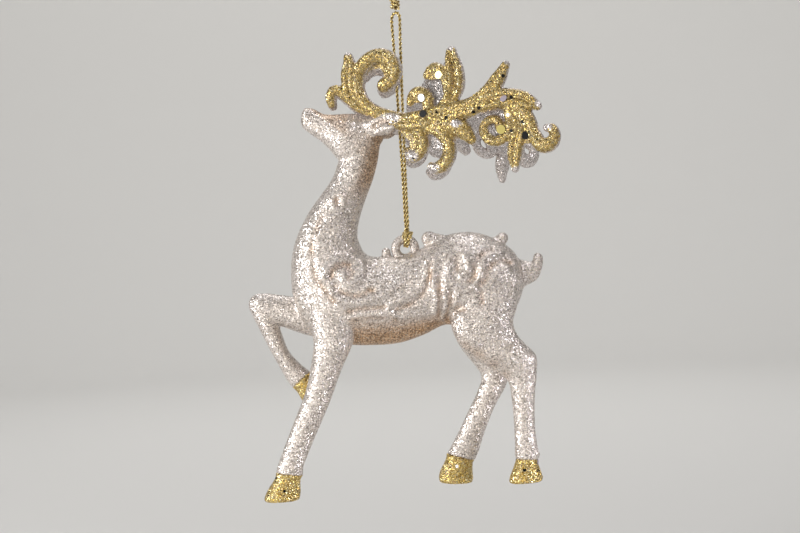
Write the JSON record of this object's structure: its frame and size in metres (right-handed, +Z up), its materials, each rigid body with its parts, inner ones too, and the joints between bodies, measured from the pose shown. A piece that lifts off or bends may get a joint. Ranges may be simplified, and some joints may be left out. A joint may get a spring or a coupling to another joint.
{
  "type": "hanging reindeer ornament",
  "caption": "Glitter-coated hanging deer figure with a raised foreleg, splayed scrollwork antlers and a cord loop hitched to an eyelet on its back.",
  "frame": {"origin": "the point inside the top of the cord loop that bears on the hook or rod it hangs from", "axes": "+Z up along the hanging cord, nose towards -X, the deer's left side towards -Y"},
  "size_m": [0.0925, 0.0602, 0.1518],
  "materials": {
    "pearl_glitter": "fine pearl-silver glitter over moulded plastic",
    "gold_glitter": "gold glitter over moulded plastic",
    "gold_thread": "twisted metallic thread"
  },
  "bodies": {
    "hanger": {"hang_cord": "gold_thread", "cord_hitch": "gold_thread", "cord_knot": "gold_thread"},
    "deer": {"body_left_half": "pearl_glitter", "body_right_half": "pearl_glitter", "antler_left": "gold_glitter", "antler_right": "gold_glitter", "hoof_front_left": "gold_glitter", "hoof_front_right": "gold_glitter", "hoof_hind_left": "gold_glitter", "hoof_hind_right": "gold_glitter"}
  },
  "joints": [
    {"name": "swing", "type": "hinge", "parent": "hanger", "child": "deer", "pos_m": [0, 0, -0.0704], "axis": [0, 1, 0], "range_deg": [-35, 5]}
  ]
}
